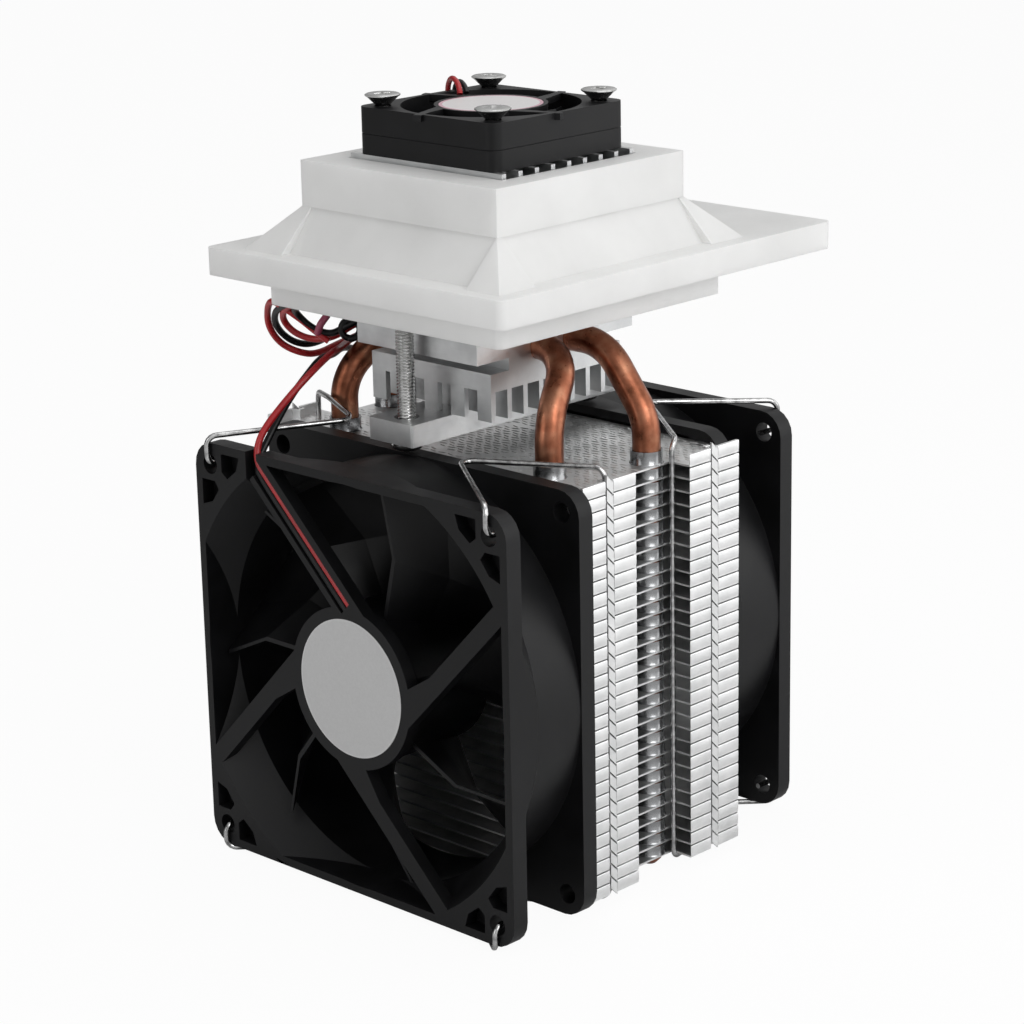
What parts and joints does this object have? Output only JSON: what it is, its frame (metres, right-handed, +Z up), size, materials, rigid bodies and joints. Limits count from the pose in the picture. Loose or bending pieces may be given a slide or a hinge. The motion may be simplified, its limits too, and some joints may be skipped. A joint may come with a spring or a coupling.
{
  "type": "thermoelectric cooling module",
  "caption": "Thermoelectric cooler: small cold-side fan and sink in a white bulkhead, hot base with copper heat pipes, fin stack between two larger fans.",
  "frame": {"origin": "middle of the whole cooler on the surface that its lowest clip wires rest on", "axes": "+Z up along the clamp bolts from the hot side to the cold side, +Y from the front fan to the rear fan, +X to the right seen from the front"},
  "size_m": [0.1, 0.1134, 0.1657],
  "materials": {
    "label_film": "plain satin label film",
    "fan_frame_plastic": "moulded black plastic, fine satin",
    "fan_rotor_plastic": "moulded black plastic, satin",
    "stator_steel": "enamelled windings on a laminated core",
    "bearing_bronze": "sintered bronze",
    "ferrite": "moulded ferrite ring",
    "shaft_steel": "ground steel",
    "spring_wire": "drawn and plated spring wire",
    "screw_steel": "nickel-plated steel",
    "bolt_steel": "zinc-plated steel",
    "sink_aluminium": "extruded, milled",
    "fin_aluminium": "rolled sheet, folded",
    "cut_aluminium": "extruded and milled, satin",
    "copper": "drawn copper, brushed and slightly tarnished",
    "ceramic": "white alumina",
    "semiconductor": "sintered pellets",
    "foam": "closed-cell foam",
    "frosted_plastic": "frosted translucent white plastic"
  },
  "bodies": {
    "root": {"bulkhead_adapter": "frosted_plastic", "clamp_bar": "cut_aluminium", "clamp_bolts": "bolt_steel", "cold_block": "cut_aluminium", "cold_ceramic_plate": "ceramic", "cold_fan_bearing": "bearing_bronze", "cold_fan_frame": "fan_frame_plastic", "cold_fan_label": "label_film", "cold_fan_screws": "screw_steel", "cold_fan_stator": "stator_steel", "cold_heatsink": "sink_aluminium", "fin_stack": "fin_aluminium", "finned_hot_base": "cut_aluminium", "foam_gasket": "foam", "front_fan_bearing": "bearing_bronze", "front_fan_frame": "fan_frame_plastic", "front_fan_label": "label_film", "front_fan_stator": "stator_steel", "front_left_clip": "spring_wire", "front_right_clip": "spring_wire", "heat_pipe_inner": "copper", "heat_pipe_outer": "copper", "hot_ceramic_plate": "ceramic", "pipe_cover_plate": "cut_aluminium", "rear_fan_bearing": "bearing_bronze", "rear_fan_frame": "fan_frame_plastic", "rear_fan_label": "label_film", "rear_fan_stator": "stator_steel", "rear_left_clip": "spring_wire", "rear_right_clip": "spring_wire", "semiconductor_pellets": "semiconductor"},
    "front_fan_spinner": {"front_fan_rotor": "fan_rotor_plastic", "front_fan_magnet": "ferrite", "front_fan_shaft": "shaft_steel"},
    "rear_fan_spinner": {"rear_fan_rotor": "fan_rotor_plastic", "rear_fan_magnet": "ferrite", "rear_fan_shaft": "shaft_steel"},
    "cold_fan_spinner": {"cold_fan_rotor": "fan_rotor_plastic", "cold_fan_magnet": "ferrite", "cold_fan_shaft": "shaft_steel"}
  },
  "joints": [
    {"name": "front_fan_spin", "type": "hinge", "parent": "root", "child": "front_fan_spinner", "pos_m": [0.004, -0.04285, 0.0473], "axis": [0, 1, 0], "continuous": true},
    {"name": "rear_fan_spin", "type": "hinge", "parent": "root", "child": "rear_fan_spinner", "pos_m": [-0.004, 0.03115, 0.0473], "axis": [0, 1, 0], "continuous": true},
    {"name": "cold_fan_spin", "type": "hinge", "parent": "root", "child": "cold_fan_spinner", "pos_m": [0.0005, -0.00585, 0.1581], "axis": [0, 0, 1], "continuous": true}
  ]
}
